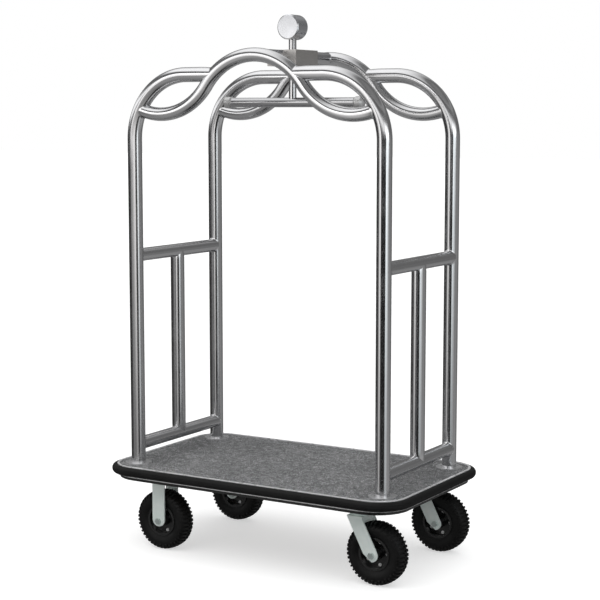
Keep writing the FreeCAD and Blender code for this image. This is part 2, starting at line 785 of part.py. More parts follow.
def add_legs(body, corners, under, axle_x):
    """Two fork legs from one side outline: a block cut away between the legs."""
    side = new_sketch(body, "XZ_Plane")
    outline(side, corners)
    pad(body, side, "cart.fork_wide", symmetric=True)
    inside = new_sketch(body, "XZ_Plane")
    rectangle(inside, "-cart.axle_height", "0", "cart.axle_height", under)
    pocket(body, inside, "cart.fork_wide - 2 * cart.fork_steel")
    hole = new_sketch(body, "XZ_Plane")
    circle(hole, "cart.axle_d + 2 * cart.gap", axle_x, "cart.axle_height")
    pocket(body, hole, "cart.fork_wide * 2")


def fixed_fork(label, y_side):
    """A fork with upright legs and its own top plate."""
    body = new_body("FixedFork")
    half = "cart.leg_wide / 2"
    corners = (
        ("-" + half, PLATE_LOW),
        (half, PLATE_LOW),
        (half, "cart.leg_low"),
        ("0", "cart.leg_low - %s" % half, half, "right"),
        ("-" + half, "cart.leg_low", half, "right"),
    )
    add_legs(body, corners, PLATE_LOW, "0")
    add_plate(body)
    keep(put(body, "-cart.fixed_x", "%d * cart.caster_y" % y_side), label)


def swivel_fork(label, y_side):
    """A raked fork under the ball race, with a turned-down front edge."""
    body = new_body("SwivelFork")
    low = "cart.crown_top - cart.fork_steel"
    corners = (
        ("-cart.crown_back", "cart.crown_top"),
        ("cart.crown_front", "cart.crown_top"),
        ("cart.crown_front", "cart.crown_top - cart.crown_side"),
        ("cart.trail + cart.leg_tip * cos(cart.leg_rake)",
         "cart.axle_height + cart.leg_tip * sin(cart.leg_rake)"),
        ("cart.trail", "cart.axle_height - cart.leg_tip", "cart.leg_tip", "right"),
        ("cart.trail - cart.tip_cut", "cart.axle_height + cart.tip_rise"),
    )
    add_legs(body, corners, low, "cart.trail")
    lip = new_sketch(body, "XZ_Plane")
    rectangle(lip, "cart.crown_front - cart.fork_steel", "cart.crown_top - cart.crown_lip",
              "cart.crown_front", "cart.crown_top")
    pad(body, lip, "cart.fork_wide", symmetric=True)
    add_race(body, "cart.crown_top", "cart.crown_top - 2 * cart.fork_steel")
    keep(put(body, "cart.swivel_x", "%d * cart.caster_y" % y_side), label)


def add_race(body, low, hole_low):
    """A ring with a ball groove, bored through for the king bolt."""
    band = new_sketch(body, "XY_Plane", low)
    circle(band, "2 * cart.race_out")
    pad(body, band, "cart.race_high")
    groove = new_sketch(body, "XZ_Plane")
    circle(groove, "cart.ball_d + 2 * cart.gap", "cart.ball_ring", BALL_HEIGHT)
    turned(body, groove, "Groove")
    bore = new_sketch(body, "XY_Plane", hole_low)
    circle(bore, "cart.king_d + 2 * cart.gap")
    pocket(body, bore, "6 * cart.race_high")


def swivel_plate(label, y_side):
    """The bolted top plate of a swivel caster with the upper ball race under it."""
    body = new_body("SwivelPlate")
    add_plate(body)
    add_race(body, "%s - cart.race_high" % PLATE_LOW, PLATE_LOW)
    keep(put(body, "cart.swivel_x", "%d * cart.caster_y" % y_side), label)


def swivel_balls():
    balls = []
    for side in (-1, 1):
        for number in range(BALLS):
            angle = 360 / BALLS * number
            ball = bind(doc.addObject("Part::Sphere", "Ball"), Radius="cart.ball_d / 2")
            x = "cart.swivel_x + cart.ball_ring * cos(%g)" % angle
            y = "%d * cart.caster_y + cart.ball_ring * sin(%g)" % (side, angle)
            balls.append(put(ball, x, y))
    keep(put(compound(*balls), z=BALL_HEIGHT), "swivel_balls")


def swivel_king_bolts():
    """The bolts that hold each fork up against its race and that it turns on."""
    bolts = []
    for side in (-1, 1):
        long = "%s + cart.plate_thick - cart.crown_top + cart.fork_steel" % PLATE_LOW
        bolt = hex_bolt("cart.king_d", long, "cart.king_flats", "cart.king_head")
        bolts.append(put(bolt, "cart.swivel_x", "%d * cart.caster_y" % side))
    low = "cart.crown_top - cart.fork_steel - cart.gap"
    keep(put(compound(*bolts), z=low), "swivel_king_bolts")


def axle_bolts(label, places):
    """Bolt heads in front, nuts behind; each place is an axle centre (x, y)."""
    parts = []
    for x, y in places:
        long = "cart.fork_wide + cart.axle_nut + cart.axle_stand"
        bolt = hex_bolt("cart.axle_d", long, "cart.axle_flats", "cart.axle_head")
        put(bolt, x, "%s - cart.fork_wide / 2" % y, "0", Z_TO_Y)
        nut = hex_nut("cart.axle_d", "cart.axle_flats", "cart.axle_nut")
        put(nut, x, "%s + cart.fork_wide / 2" % y, "0", Z_TO_Y)
        parts += [bolt, nut]
    keep(put(compound(*parts), z="cart.axle_height"), label)


def axle_spacers(label, places):
    """A sleeve on each axle bolt between the fork legs; the bearings run on it."""
    sleeves = []
    for x, y in places:
        body = new_body("Sleeve")
        profile = new_sketch(body, "XZ_Plane")
        circle(profile, "cart.sleeve_d")
        circle(profile, "cart.axle_d + 2 * cart.gap")
        pad(body, profile, "cart.fork_wide - 2 * cart.fork_steel - 2 * cart.gap", symmetric=True)
        sleeves.append(put(body, x, y))
    keep(put(compound(*sleeves), z="cart.axle_height"), label)


# ---------------------------------------------------------------- wheels

def tyre(label, place):
    """A pneumatic tyre: treaded crown, bulging sidewalls and two beads."""
    body = new_body("Tyre")
    section = new_sketch(body, "XY_Plane")
    inner = "cart.bead_half - cart.tyre_bead"
    outline(section, (
        ("cart.rim_seat", "-cart.bead_half"),
        ("cart.bead_top", "-cart.bead_half"),
        ("cart.shoulder", "-cart.shoulder_half", "cart.tyre_side", "left"),
        ("cart.tread_edge", "-cart.tread_half"),
        ("cart.tread_edge", "cart.tread_half", "cart.tread_crown", "left"),
        ("cart.shoulder", "cart.shoulder_half"),
        ("cart.bead_top", "cart.bead_half", "cart.tyre_side", "left"),
        ("cart.rim_seat", "cart.bead_half"),
        ("cart.rim_seat", inner),
        ("cart.cavity_top", inner, "cart.cavity_side", "right"),
        ("cart.cavity_top", "-(%s)" % inner),
        ("cart.rim_seat", "-(%s)" % inner, "cart.cavity_side", "right"),
    ))
    turned(body, section)
    keep(put(body, *place), label)


def inner_tube(label, place):
    """An air-filled ring with a valve stem that points to the axle through the rim."""
    body = new_body("InnerTube")
    section = new_sketch(body, "XY_Plane")
    ring(section, "cart.air_d", "cart.air_wall", "cart.air_ring", "0")
    turned(body, section)
    length = "cart.air_ring - cart.air_d / 2 + 4 * cart.lap - cart.valve_low"
    stem = cylinder("cart.valve_d / 2", length)
    put(stem, "cart.valve_low", "cart.valve_side", turn=Z_TO_X)
    hollow = torus("cart.air_ring", "cart.air_d / 2 - cart.air_wall")
    put(hollow, turn=Z_TO_Y)
    trimmed = cut(stem, hollow)
    keep(put(fuse(body, trimmed), *place), label)


def rim(label, place):
    """Two pressed steel halves bolted back to back, one drilled for the valve."""
    halves = []
    for side in (-1, 1):
        body = new_body("RimHalf")
        section = new_sketch(body, "XY_Plane")
        bore = "cart.bearing_d / 2 + cart.gap"
        seat = "cart.rim_seat - cart.gap"
        outline(section, [(x, "%d * (%s)" % (side, y)) for x, y in (
            (bore, "cart.gap"),
            (bore, "cart.hub_half"),
            (bore + " + cart.rim_steel", "cart.hub_half"),
            (bore + " + cart.rim_steel", "cart.rim_steel + cart.rim_fold"),
            (bore + " + cart.rim_steel + cart.rim_fold", "cart.rim_steel"),
            (seat + " - cart.rim_steel - cart.rim_fold", "cart.rim_steel"),
            (seat + " - cart.rim_steel", "cart.rim_steel + cart.rim_fold"),
            (seat + " - cart.rim_steel", "cart.bead_half + cart.rim_steel"),
            ("cart.rim_edge", "cart.bead_half + cart.rim_steel"),
            ("cart.rim_edge", "cart.bead_half + cart.gap"),
            (seat, "cart.bead_half + cart.gap"),
            (seat, "cart.gap"),
        )])
        turned(body, section)
        hole = new_sketch(body, "XZ_Plane")
        circle(hole, "cart.rim_bolt + 2 * cart.gap", "cart.rim_bolt_ring", "0")
        drilled = pocket(body, hole, "4 * cart.rim_steel")
        holes = body.newObject("PartDesign::PolarPattern", "PolarPattern")
        holes.Originals = [drilled]
        holes.Axis = (origin_part(body, "Y_Axis"), [""])
        holes.Angle = 360
        holes.Occurrences = RIM_BOLTS
        body.Tip = holes
        halves.append(body)
    passage = cylinder("cart.valve_d / 2 + cart.valve_free", "cart.rim_edge - cart.rim_bolt_ring")
    put(passage, "cart.rim_bolt_ring", "cart.valve_side", turn=Z_TO_X)
    halves[1] = cut(halves[1], passage)
    keep(put(compound(*halves), *place), label)


def rim_bolts(label, place):
    """The bolts and nuts that clamp the rim halves together."""
    parts = []
    for number in range(RIM_BOLTS):
        angle = 360 / RIM_BOLTS * number
        x = "cart.rim_bolt_ring * cos(%g)" % angle
        z = "-cart.rim_bolt_ring * sin(%g)" % angle
        long = "2 * cart.rim_steel + cart.rim_bolt_head + cart.rim_bolt_stand"
        bolt = hex_bolt("cart.rim_bolt", long, "cart.rim_bolt_flats", "cart.rim_bolt_head")
        put(bolt, x, "-cart.rim_steel", z, Z_TO_Y)
        nut = hex_nut("cart.rim_bolt", "cart.rim_bolt_flats", "cart.rim_bolt_head")
        put(nut, x, "cart.rim_steel", z, Z_TO_Y)
        parts += [bolt, nut]
    keep(put(compound(*parts), *place), label)


def hub_bearings(label, place):
    """Two sealed bearings in the hub barrel, running on the spacer sleeve."""
    rings = []
    for side in (-1, 1):
        body = new_body("Bearing")
        profile = new_sketch(body, "XZ_Plane")
        circle(profile, "cart.bearing_d")
        circle(profile, "cart.sleeve_d + 2 * cart.gap")
        pad(body, profile, "cart.bearing_wide", symmetric=True)
        y = "%d * (cart.hub_half - cart.bearing_wide / 2 - cart.bearing_sink)" % side
        rings.append(put(body, "0", y))
    keep(put(compound(*rings), *place), label)


# ---------------------------------------------------------------- assembly

def wheel(corner, place):
    tyre("tyre_" + corner, place)
    inner_tube("inner_tube_" + corner, place)
    rim("rim_" + corner, place)
    rim_bolts("rim_bolts_" + corner, place)
    hub_bearings("hub_bearings_" + corner, place)


def build():
    for y_name, y_side in (("front", -1), ("back", 1)):
        post("post_%s_left" % y_name, -1, y_side)
        post("post_%s_right" % y_name, 1, y_side)
        wave_tube("wave_tube_" + y_name, y_side)
    for x_name, x_side in (("left", -1), ("right", 1)):
        side_rail("upper_rail_" + x_name, x_side, "cart.rail_upper")
        side_rail("lower_rail_" + x_name, x_side, "cart.rail_lower")
        centre_bar("centre_bar_" + x_name, x_side)
    for make in (cross_tubes, centre_block, centre_rod, finial_disc, hanger_bar,
                 hanger_end_knobs, post_flanges, flange_screws, deck_board, deck_carpet,
                 edge_trim, bumper_strip, base_frame, caster_plate_bolts, swivel_balls,
                 swivel_king_bolts):
        make()
    swivel_axle = "cart.swivel_x + cart.trail"
    fixed_axles = []
    for y_name, y_side in (("front", -1), ("back", 1)):
        y = "%d * cart.caster_y" % y_side
        fixed_axles.append(("-cart.fixed_x", y))
        fixed_fork("fork_%s_left" % y_name, y_side)
        swivel_fork("fork_%s_right" % y_name, y_side)
        swivel_plate("swivel_plate_" + y_name, y_side)
        axle_bolts("axle_bolt_%s_right" % y_name, [(swivel_axle, y)])
        axle_spacers("axle_spacer_%s_right" % y_name, [(swivel_axle, y)])
        wheel(y_name + "_left", ("-cart.fixed_x", y, "cart.axle_height"))
        wheel(y_name + "_right", (swivel_axle, y, "cart.axle_height"))
    axle_bolts("axle_bolts_fixed", fixed_axles)
    axle_spacers("axle_spacers_fixed", fixed_axles)


def check():
    """Stop if any object failed or any piece has no sound solid."""
    doc.recompute()
    for item in doc.Objects:
        if "Invalid" in item.State or "Error" in item.State:
            raise SystemExit("%s (%s) did not build: %s" % (item.Name, item.Label, item.State))
    for piece in pieces:
        shape = piece.Shape
        if shape.isNull() or not shape.isValid() or not shape.Solids:
            raise SystemExit("%s has no sound solid" % piece.Label)


def write():
    os.makedirs("parts", exist_ok=True)
    for piece in pieces:
        piece.Shape.exportStep("parts/%s.step" % piece.Label)
        print(piece.Label, len(piece.Shape.Solids), round(piece.Shape.Volume))


build()
check()
write()
print(len(pieces), "pieces")
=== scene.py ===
"""Looks of the hotel luggage cart: brushed tube skins with weld seams, speckled carpet, knobbly
tyres, zinc casters and a plain studio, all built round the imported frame. Metres."""
import json
import math
import random

import bmesh
import bpy
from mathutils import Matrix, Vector

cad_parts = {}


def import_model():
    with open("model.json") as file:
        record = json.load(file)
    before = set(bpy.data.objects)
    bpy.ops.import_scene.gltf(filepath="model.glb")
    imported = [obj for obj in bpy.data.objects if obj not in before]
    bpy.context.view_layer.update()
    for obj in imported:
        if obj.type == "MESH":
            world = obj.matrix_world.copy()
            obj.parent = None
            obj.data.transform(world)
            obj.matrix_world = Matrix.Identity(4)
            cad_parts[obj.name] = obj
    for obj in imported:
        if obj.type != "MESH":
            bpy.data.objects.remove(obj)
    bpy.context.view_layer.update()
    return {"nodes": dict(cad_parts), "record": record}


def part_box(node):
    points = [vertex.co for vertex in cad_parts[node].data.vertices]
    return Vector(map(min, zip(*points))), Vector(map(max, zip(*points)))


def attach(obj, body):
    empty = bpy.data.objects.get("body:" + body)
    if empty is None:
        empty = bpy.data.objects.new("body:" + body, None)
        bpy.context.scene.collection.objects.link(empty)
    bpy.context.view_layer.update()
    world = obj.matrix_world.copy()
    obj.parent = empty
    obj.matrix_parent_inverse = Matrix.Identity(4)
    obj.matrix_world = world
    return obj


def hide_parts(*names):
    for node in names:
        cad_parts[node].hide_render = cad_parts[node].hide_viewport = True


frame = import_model()

X, Y, Z = Vector((1, 0, 0)), Vector((0, 1, 0)), Vector((0, 0, 1))
ROOT = "cart_frame"
CORNERS = ("front_left", "front_right", "back_left", "back_right")

# Shape values that no box of the frame shows.
ARCH_BEND = 0.210        # centre-line radius of the arch bends
WAVE_RUN = 0.3633        # wave crest to valley along X
LIP_DEPTH = 0.008        # lips of the edge trim, from their edge to the board
LIP_CORNER = 0.100       # corner radius of the lips
FILLET = 0.0045          # leg length of the weld fillets
WELD_SKIN = 0.00008      # how far the fillets' edges stand off the tubes
SWAGE_GAP = 0.0001       # how much thinner a swaged end is than the tube it meets
TUBE_SIDES = 64


# ---------------------------------------------------------------- material helpers

def add(tree, kind, inputs=None, **properties):
    """Add a shader node; each input is a value or a socket to link."""
    node = tree.nodes.new("ShaderNode" + kind)
    for name, value in properties.items():
        setattr(node, name, value)
    for name, value in (inputs or {}).items():
        if isinstance(value, bpy.types.NodeSocket):
            tree.links.new(value, node.inputs[name])
        else:
            node.inputs[name].default_value = value
    return node


def grey(level):
    """A neutral, opaque colour."""
    return (level, level, level, 1.0)


def coordinates(tree, source="Object", scale=(1, 1, 1)):
    """Texture coordinates of one kind, stretched by scale."""
    place = add(tree, "TexCoord").outputs[source]
    return add(tree, "Mapping", {"Vector": place, "Scale": scale}).outputs["Vector"]


def noise_of(tree, vector, scale, detail=3.0, roughness=0.55):
    """Cloudy noise from 0 to 1."""
    return add(tree, "TexNoise", {"Vector": vector, "Scale": scale, "Detail": detail,
                                  "Roughness": roughness}).outputs["Fac"]


def ramp(tree, factor, *stops):
    """A colour ramp from (position, colour) stops."""
    node = add(tree, "ValToRGB", {"Fac": factor})
    elements = node.color_ramp.elements
    while len(elements) < len(stops):
        elements.new(0.5)
    for element, (position, colour) in zip(elements, stops):
        element.position = position
        element.color = colour
    return node.outputs["Color"]


def rescale(tree, value, low, high, start=0.3, end=0.7):
    """Map start..end, at first the middle of a noise value's range, to low..high."""
    return add(tree, "MapRange", {"Value": value, "From Min": start, "From Max": end,
                                  "To Min": low, "To Max": high}).outputs["Result"]


def combine(tree, operation, first, second):
    """One maths operation on two values or sockets."""
    return add(tree, "Math", {0: first, 1: second}, operation=operation).outputs["Value"]


def mix(tree, factor, first, second, blend="MIX"):
    """Blend two colours or colour sockets."""
    node = add(tree, "MixRGB", {"Fac": factor, "Color1": first, "Color2": second},
               blend_type=blend)
    return node.outputs["Color"]


def bump(tree, height, strength, distance, normal=None):
    """A normal that follows a height field, on top of another normal if one is given."""
    inputs = {"Height": height, "Strength": strength, "Distance": distance}
    if normal is not None:
        inputs["Normal"] = normal
    return add(tree, "Bump", inputs).outputs["Normal"]


def soft_edges(tree, radius):
    """A normal that rounds sharp edges so that they catch the light."""
    return add(tree, "Bevel", {"Radius": radius}, samples=4).outputs["Normal"]


def new_material(name):
    """A material and its principled shader."""
    material = bpy.data.materials.new(name)
    material.use_nodes = True
    return material, material.node_tree, material.node_tree.nodes["Principled BSDF"]


def wire(tree, shader, **inputs):
    """Set or link inputs of the principled shader; underscores stand for spaces."""
    for name, value in inputs.items():
        socket = shader.inputs[name.replace("_", " ")]
        if isinstance(value, bpy.types.NodeSocket):
            tree.links.new(value, socket)
        else:
            socket.default_value = value


# ---------------------------------------------------------------- materials

def tube_steel(name, dark, light):
    """Satin stainless tube: the polish blurs reflections along the tube, not across it."""
    material, tree, shader = new_material(name)
    lengthwise = coordinates(tree, "UV", (1.2, 1100.0, 1.0))
    hoops = coordinates(tree, "UV", (1400.0, 40.0, 1.0))
    streaks = noise_of(tree, lengthwise, 1.0, 4.0)
    scratches = noise_of(tree, hoops, 1.0, 2.0)
    patches = noise_of(tree, coordinates(tree), 14.0)
    colour = ramp(tree, streaks, (0.25, (*dark, 1)), (0.75, (*light, 1)))
    wire(tree, shader, Base_Color=colour, Metallic=1.0,
         Roughness=rescale(tree, patches, 0.12, 0.20),
         Anisotropic=0.5,
         Tangent=add(tree, "Tangent", direction_type="UV_MAP").outputs["Tangent"],
         Normal=bump(tree, scratches, 0.008, 0.0002, bump(tree, streaks, 0.025, 0.0002)))
    return material


def plain_steel(name, dark, light, low, high, grain=(1, 1, 1), grain_scale=400.0, edge=0.0006):
    """Brushed or turned steel with a straight grain across one direction."""
    material, tree, shader = new_material(name)
    lines = noise_of(tree, coordinates(tree, "Object", grain), grain_scale, 3.0)
    patches = noise_of(tree, coordinates(tree), 30.0)
    colour = ramp(tree, lines, (0.3, (*dark, 1)), (0.7, (*light, 1)))
    wire(tree, shader, Base_Color=colour, Metallic=1.0,
         Roughness=rescale(tree, patches, low, high),
         Normal=bump(tree, lines, 0.04, 0.0004, soft_edges(tree, edge)))
    return material


def satin(name, dark, light, metallic, roughness, grain_scale=40.0, edge=0.0006):
    """Dull bright metal whose scatter hides most of what it reflects."""
    material, tree, shader = new_material(name)
    place = coordinates(tree)
    clouds = noise_of(tree, place, grain_scale, 5.0)
    grain = noise_of(tree, place, 900.0, 2.0)
    colour = ramp(tree, clouds, (0.3, (*dark, 1)), (0.7, (*light, 1)))
    wire(tree, shader, Base_Color=colour, Metallic=metallic,
         Roughness=rescale(tree, clouds, roughness, roughness + 0.12),
         Normal=bump(tree, grain, 0.08, 0.0003, soft_edges(tree, edge)))
    return material


def carpet():
    """Dark grey loop pile with lighter and darker flecks."""
    material, tree, shader = new_material("carpet")
    place = coordinates(tree)
    fleck = noise_of(tree, place, 430.0, 2.0, 0.7)
    blotch = noise_of(tree, place, 60.0, 4.0, 0.7)
    worn = noise_of(tree, place, 3.0, 2.0)
    mixed = combine(tree, "ADD", fleck, rescale(tree, blotch, -0.07, 0.07))
    mixed = combine(tree, "ADD", mixed, rescale(tree, worn, -0.02, 0.02))
    colour = ramp(tree, mixed, (0.38, (0.008, 0.009, 0.010, 1)), (0.47, (0.055, 0.057, 0.061, 1)),
                  (0.55, (0.13, 0.134, 0.14, 1)), (0.63, (0.50, 0.50, 0.50, 1)))
    wire(tree, shader, Base_Color=colour, Roughness=0.95, Sheen_Weight=0.25,
         Sheen_Roughness=0.5, Specular_IOR_Level=0.15,
         Normal=bump(tree, fleck, 0.6, 0.0012))
    return material


def rubber(name, level, low, high, edge=0.0008, grain=500.0, strength=0.12, sheen=0.4):
    """Black rubber: fine grain, uneven sheen, rounded edges."""
    material, tree, shader = new_material(name)
    place = coordinates(tree)
    dust = noise_of(tree, place, 18.0, 5.0, 0.65)
    pores = noise_of(tree, place, grain, 2.0)
    colour = ramp(tree, dust, (0.35, grey(level)), (0.75, grey(level * 1.9)))
    wire(tree, shader, Base_Color=colour, Roughness=rescale(tree, dust, low, high),
         Specular_IOR_Level=sheen,
         Normal=bump(tree, pores, strength, 0.0004, soft_edges(tree, edge)))
    return material


def black_paint(name, level, roughness, coat):
    """Sprayed black enamel with a light orange-peel."""
    material, tree, shader = new_material(name)
    place = coordinates(tree)
    peel = noise_of(tree, place, 160.0, 2.0)
    dust = noise_of(tree, place, 25.0, 4.0)
    colour = ramp(tree, dust, (0.4, grey(level)), (0.8, grey(level * 2.0)))
    wire(tree, shader, Base_Color=colour, Roughness=rescale(tree, dust, roughness, roughness + 0.1),
         Coat_Weight=coat, Coat_Roughness=0.12,
         Normal=bump(tree, peel, 0.05, 0.0005, soft_edges(tree, 0.0010)))
    return material


def plywood():
    """Bare plywood, layered across its thickness."""
    material, tree, shader = new_material("board")
    layers = noise_of(tree, coordinates(tree, "Object", (4, 4, 600)), 1.0, 3.0)
    grain = noise_of(tree, coordinates(tree, "Object", (6, 120, 120)), 1.0, 5.0)
    colour = ramp(tree, layers, (0.35, (0.20, 0.13, 0.08, 1)), (0.65, (0.34, 0.24, 0.15, 1)))
    wire(tree, shader, Base_Color=colour, Roughness=0.6, Normal=bump(tree, grain, 0.2, 0.0005))
    return material


def make_materials():
    """Every material of the cart by name; colours are (dark, light) pairs of a grain."""
    steel = plain_steel
    return {
        "tube_steel": tube_steel("tube_steel", (0.60, 0.60, 0.61), (0.72, 0.72, 0.73)),
        # painted shade: the hanger bar is the same satin tube steel, its colour darkened to stand
        # in for the shade and dark reflections it gets in the middle of the cart
        "bar_steel_painted_shade": tube_steel("bar_steel_painted_shade", (0.42, 0.42, 0.43), (0.52, 0.52, 0.53)),
        "foot_steel": satin("foot_steel", (0.50, 0.50, 0.50), (0.62, 0.62, 0.62), 0.6, 0.32),
        "flange_steel": satin("flange_steel", (0.56, 0.56, 0.57), (0.68, 0.68, 0.69), 0.75, 0.24,
                              edge=0.0018),
        "dark_brushed_steel": steel("dark_brushed_steel", (0.60, 0.58, 0.56), (0.69, 0.67, 0.65),
                                    0.40, 0.50, (1, 1, 14), 60.0, 0.0015),
        "finial_steel": steel("finial_steel", (0.68, 0.69, 0.71), (0.74, 0.75, 0.78),
                              0.22, 0.28, (1, 30, 1), 40.0, 0.0010),
        "screw_steel": steel("screw_steel", (0.40, 0.40, 0.41), (0.55, 0.55, 0.56), 0.25, 0.4),
        "trim_metal": satin("trim_metal", (0.76, 0.76, 0.77), (0.88, 0.88, 0.89), 0.45, 0.24),
        "zinc": satin("zinc", (0.80, 0.89, 0.86), (0.90, 0.96, 0.93), 0.12, 0.36, 22.0, 0.0012),
        "bolt_zinc": satin("bolt_zinc", (0.48, 0.55, 0.53), (0.64, 0.70, 0.68), 0.7, 0.24),
        # painted highlight: the rim bolts get a paler, less metallic copy of the bolt zinc so that
        # they show as bright glints
        "rim_bolt_zinc": satin("rim_bolt_zinc", (0.70, 0.70, 0.70), (0.86, 0.86, 0.86), 0.4, 0.22),
        "bearing_steel": steel("bearing_steel", (0.38, 0.38, 0.38), (0.52, 0.52, 0.52), 0.2, 0.35),
        "ball_steel": steel("ball_steel", (0.66, 0.66, 0.66), (0.78, 0.78, 0.78), 0.08, 0.14),
        "carpet": carpet(),
        "board": plywood(),
        "bumper_rubber": rubber("bumper_rubber", 0.008, 0.52, 0.66, sheen=0.14),
        "tyre_rubber": rubber("tyre_rubber", 0.004, 0.42, 0.62, 0.0008, 350.0, 0.25, 0.25),
        "tube_rubber": rubber("tube_rubber", 0.016, 0.4, 0.6),
        "black_steel": black_paint("black_steel", 0.010, 0.35, 0.1),
        "rim_black": black_paint("rim_black", 0.008, 0.22, 0.6),
    }


# ---------------------------------------------------------------- mesh helpers

def new_piece(name, mesh, body, slot, material, *stands_for):
    """Put a mesh in the scene as a piece that rides on a CAD body."""
    piece = bpy.data.objects.new(name, mesh)
    bpy.context.scene.collection.objects.link(piece)
    mesh.materials.clear()
    mesh.materials.append(material)
    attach(piece, body)
    if stands_for:
        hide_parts(*stands_for)
    return piece


def finish_mesh(bm, name, sharp_angle=math.radians(35)):
    """Turn a bmesh into a smooth-shaded mesh whose folds stay sharp."""
    bmesh.ops.recalc_face_normals(bm, faces=bm.faces)
    for face in bm.faces:
        face.smooth = True
    for edge in bm.edges:
        if len(edge.link_faces) == 2 and edge.calc_face_angle(0.0) > sharp_angle:
            edge.smooth = False
    mesh = bpy.data.meshes.new(name)
    bm.to_mesh(mesh)
    bm.free()
    return mesh


def bisect(is_short, high):
    """The largest value from 0 to high for which is_short still holds."""
    low = 0.0
    for _ in range(40):
        middle = (low + high) / 2
        low, high = (middle, high) if is_short(middle) else (low, middle)
    return low


def straight(start, end, count=2):
    """Points and tangents along a straight line."""
    direction = (end - start).normalized()
    return [(start.lerp(end, i / (count - 1)), direction) for i in range(count)]


def arc(centre, radius, first, last, y, step=math.radians(2.5)):
    """Points and tangents along an arc in the XZ plane at this y, by angle from +X to +Z."""
    count = max(3, int(abs(last - first) / step) + 1)
    sign = 1 if last > first else -1
    samples = []
    for index in range(count):
        angle = first + (last - first) * index / (count - 1)
        away = Vector((math.cos(angle), 0, math.sin(angle)))
        along = Vector((-math.sin(angle), 0, math.cos(angle))) * sign
        samples.append((Vector((centre[0], y, centre[1])) + away * radius, along))
    return samples


def sweep(bm, path, radius, side_axis, swage=None):
    """Skin a round tube along path samples; UVs run along the tube, then round it, in metres.
    swage is (end radius, length): the last stretch narrows to that radius."""
    uv = bm.loops.layers.uv.verify()
    lengths = [0.0]
    for (a, _), (b, _) in zip(path, path[1:]):
        lengths.append(lengths[-1] + (b - a).length)
    rings = []
    for (centre, tangent), length in zip(path, lengths):
        size = radius
        if swage is not None:
            near = max(0.0, 1 - (lengths[-1] - length) / swage[1])
            size = radius + (swage[0] - radius) * near * near * (3 - 2 * near)
        other = tangent.cross(side_axis)
        ring = []
        for index in range(TUBE_SIDES):
            angle = 2 * math.pi * index / TUBE_SIDES
            offset = side_axis * math.cos(angle) + other * math.sin(angle)
            ring.append(bm.verts.new(centre + offset * size))
        rings.append(ring)
    girth = 2 * math.pi * radius
    for row, (low, high) in enumerate(zip(rings, rings[1:])):
        for index in range(TUBE_SIDES):
            after = (index + 1) % TUBE_SIDES
            face = bm.faces.new((low[index], low[after], high[after], high[index]))
            around = (index / TUBE_SIDES * girth, (index + 1) / TUBE_SIDES * girth)
            places = ((lengths[row], around[0]), (lengths[row], around[1]),
                      (lengths[row + 1], around[1]), (lengths[row + 1], around[0]))
            for loop, place in zip(face.loops, places):
                loop[uv].uv = place
    bm.faces.new(rings[0])
    bm.faces.new(list(reversed(rings[-1])))


def line_header(point, direction):
    """The centre line of a straight tube, as a function to its nearest point."""
    return lambda p: point + direction * (p - point).dot(direction)


def circle_header(centre, radius, y):
    """The centre line of a bent tube: a circle in the XZ plane at this y."""
    middle = Vector((centre[0], y, centre[1]))

    def nearest(p):
        flat = Vector((p.x - middle.x, 0, p.z - middle.z))
        return middle + flat.normalized() * radius
    return nearest


def way_out(base, direction, header, header_radius):
    """How far from base along direction a header tube ends; 0 when base is outside it."""
    def buried(distance):
        point = base + direction * distance
        return (point - header(point)).length < header_radius
    return bisect(buried, header_radius * 4) if buried(0.0) else 0.0


def weld_profile(corner, direction, away, header, header_radius, steps):
    """Points of a curve from the branch, past the corner, to the header."""
    top = corner + direction * FILLET + away * WELD_SKIN
    out = corner + away * FILLET
    core = header(out)
    side = core + (out - core).normalized() * (header_radius + WELD_SKIN)
    points = []
    for step in range(steps + 1):
        t = step / steps
        points.append(top * (1 - t) ** 2 + corner * (2 * t * (1 - t)) + side * t ** 2)
    return points


def weld(bm, foot, direction, radius, header, header_radius, sides=72, steps=5):
    """A concave fillet where a branch tube, leaving foot along direction, meets a header tube;
    header is the function that gives the nearest point of that tube's centre line."""
    uv = bm.loops.layers.uv.verify()
    patch = 0.002
    patch_corners = ((0, 0), (0, patch), (patch, patch), (patch, 0))
    helper = Y if abs(direction.y) < 0.9 else Z
    first = direction.cross(helper).normalized()
    second = direction.cross(first).normalized()
    columns = []
    for index in range(sides):
        angle = 2 * math.pi * index / sides
        away = first * math.cos(angle) + second * math.sin(angle)
        base = foot + away * radius
        corner = base + direction * way_out(base, direction, header, header_radius)
        points = weld_profile(corner, direction, away, header, header_radius, steps)
        columns.append([bm.verts.new(point) for point in points])
    for here, after in zip(columns, columns[1:] + columns[:1]):
        for row in range(steps):
            face = bm.faces.new((here[row], after[row], after[row + 1], here[row + 1]))
            for loop, place in zip(face.loops, patch_corners):
                loop[uv].uv = place


def turn_loop(bm, profile, origin, sides=132):
    """Turn a closed loop of (radius, y) points about the Y axis through origin."""
    rings = []
    for radius, y in profile:
        ring = []
        for index in range(sides):
            angle = 2 * math.pi * index / sides
            local = Vector((radius * math.cos(angle), y, radius * math.sin(angle)))
            ring.append(bm.verts.new(origin + local))
        rings.append(ring)
    for low, high in zip(rings, rings[1:] + rings[:1]):
        for index in range(sides):
            after = (index + 1) % sides
            bm.faces.new((low[index], low[after], high[after], high[index]))


# ---------------------------------------------------------------- tube frame

